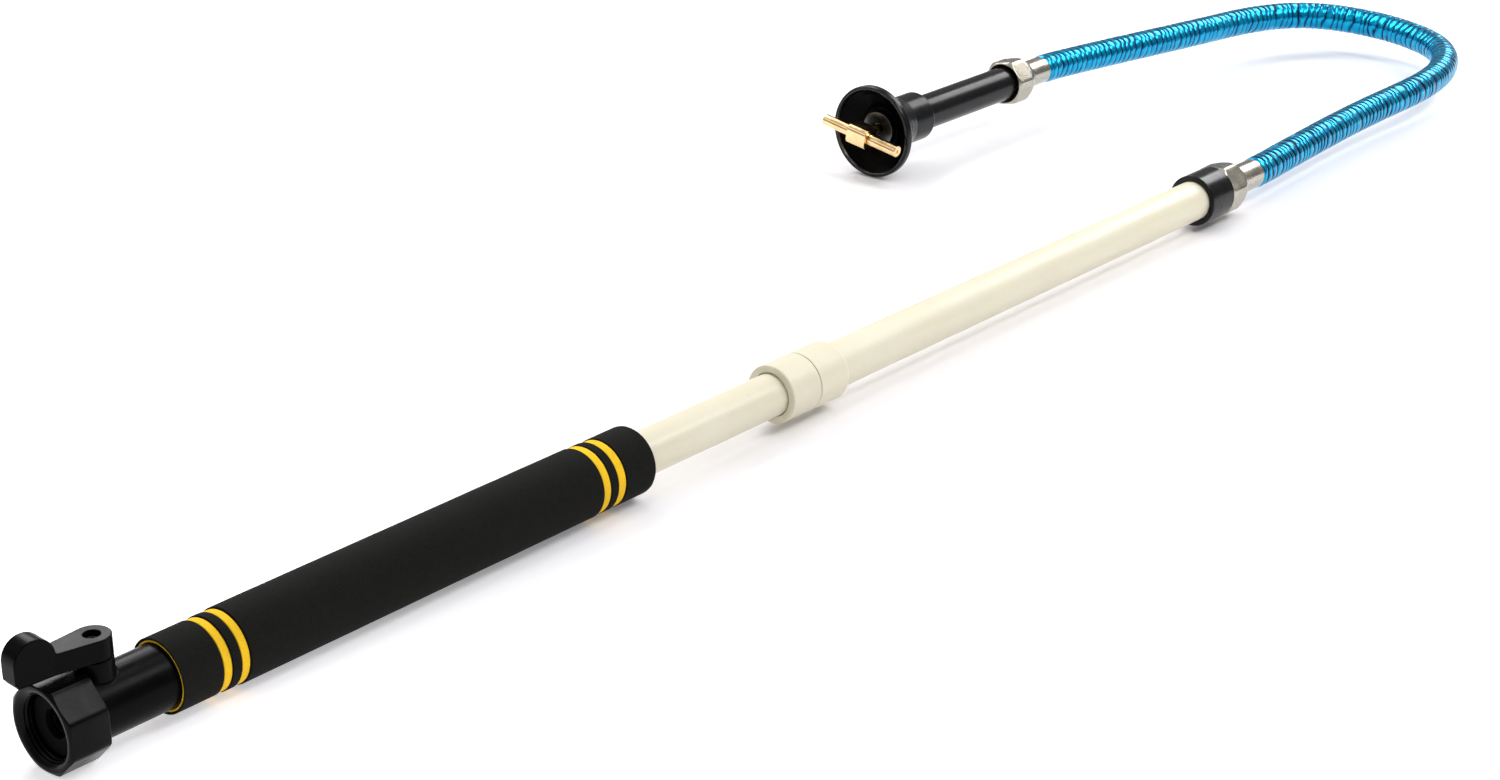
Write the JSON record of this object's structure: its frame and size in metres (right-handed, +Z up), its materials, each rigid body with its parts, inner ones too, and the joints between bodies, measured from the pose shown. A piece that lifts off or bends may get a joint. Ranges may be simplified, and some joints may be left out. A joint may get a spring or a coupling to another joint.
{
  "type": "telescopic wash wand",
  "caption": "Telescopic hose-fed wash wand with shut-off valve, foam grip, twist-lock pole, bendable gooseneck hose and a shielded spinning brass jet head.",
  "frame": {"origin": "on the surface it lies on, at the middle of the footprint of everything but the gooseneck hose", "axes": "+X along the pole from the hose nut towards the gooseneck; +Y from the pole towards the spray head lying beside it; +Z up from the surface it lies on"},
  "size_m": [1.2222, 0.2488, 0.0568],
  "materials": {
    "black_plastic": "satin black moulding",
    "black_foam": "matt closed-cell foam with fine pits",
    "yellow_foam": "matt closed-cell foam",
    "ivory_plastic": "satin ivory",
    "nickel_plate": "warm satin nickel plate",
    "brass": "turned and polished",
    "black_rubber": "matt",
    "white_ptfe": "natural white",
    "blue_hose": "metallic blue jacket with fine ring wrinkles"
  },
  "bodies": {
    "handle": {"tail_flange": "black_plastic", "valve_body": "black_plastic", "seat_front": "white_ptfe", "seat_rear": "white_ptfe", "stem_oring": "black_rubber", "lower_tube": "ivory_plastic", "handle_barrel": "black_plastic", "grip_core": "yellow_foam", "grip_front_cuff": "black_foam", "grip_front_band": "black_foam", "grip_main_sleeve": "black_foam", "grip_rear_band": "black_foam", "grip_rear_cuff": "black_foam", "tube_piston": "white_ptfe", "piston_ring_a": "black_rubber", "piston_ring_b": "black_rubber"},
    "hose_nut": {"swivel_nut": "black_plastic", "hose_washer": "black_rubber"},
    "lever": {"lever": "black_plastic", "lever_screw": "nickel_plate", "valve_stem": "nickel_plate", "valve_ball": "nickel_plate"},
    "upper_pole": {"upper_tube": "ivory_plastic", "lock_body": "ivory_plastic", "lock_collet": "white_ptfe", "end_collar": "black_plastic", "union_washer": "black_rubber", "hose_tail": "nickel_plate", "ferrule": "nickel_plate", "hose_near_leg": "blue_hose"},
    "lock_ring": {"lock_nut": "ivory_plastic"},
    "pole_union": {"union_nut": "nickel_plate"},
    "gooseneck": {"hose_near_bend": "blue_hose", "hose_crown": "blue_hose"},
    "spray_head": {"hose_far_bend": "blue_hose", "hose_far_leg": "blue_hose", "head_ferrule": "nickel_plate", "head_hose_tail": "nickel_plate", "head_washer": "black_rubber", "nozzle_tube": "black_plastic", "splash_shield": "black_plastic", "spindle_bush": "white_ptfe"},
    "head_union": {"head_union_nut": "nickel_plate"},
    "jets": {"jet_block": "brass", "jet_arm_near": "brass", "jet_arm_far": "brass", "spindle": "brass", "spindle_clip": "nickel_plate"}
  },
  "joints": [
    {"name": "hose_nut_spin", "type": "hinge", "parent": "handle", "child": "hose_nut", "pos_m": [-0.46545, -0.10695, 0.0175], "axis": [1, 0, 0], "continuous": true},
    {"name": "valve_lever_turn", "type": "hinge", "parent": "handle", "child": "lever", "pos_m": [-0.43955, -0.10695, 0.0175], "axis": [0, 0, 1], "range_deg": [0, 90]},
    {"name": "pole_slide", "type": "slide", "parent": "handle", "child": "upper_pole", "axis": [1, 0, 0], "range_m": [-0.095, 0.17]},
    {"name": "lock_twist", "type": "hinge", "parent": "upper_pole", "child": "lock_ring", "pos_m": [-0.04695, -0.10695, 0.0175], "axis": [1, 0, 0], "range_deg": [0, 120]},
    {"name": "pole_union_spin", "type": "hinge", "parent": "upper_pole", "child": "pole_union", "pos_m": [0.35675, -0.10695, 0.0175], "axis": [1, 0, 0], "continuous": true},
    {"name": "gooseneck_near_bend", "type": "hinge", "parent": "upper_pole", "child": "gooseneck", "pos_m": [0.70537, -0.08547, 0.0215], "axis": [0, 0, 1], "range_deg": [-76, 8], "deforming": ["hose_near_bend"]},
    {"name": "gooseneck_far_bend", "type": "hinge", "parent": "gooseneck", "child": "spray_head", "pos_m": [0.72821, 0.04328, 0.026], "axis": [0, 0, 1], "range_deg": [-84, 8], "deforming": ["hose_far_bend"]},
    {"name": "head_union_spin", "type": "hinge", "parent": "spray_head", "child": "head_union", "pos_m": [0.43305, 0.09605, 0.0284], "axis": [1, 0, 0], "continuous": true},
    {"name": "jet_spin", "type": "hinge", "parent": "spray_head", "child": "jets", "pos_m": [0.28455, 0.09605, 0.0284], "axis": [1, 0, 0], "continuous": true}
  ]
}
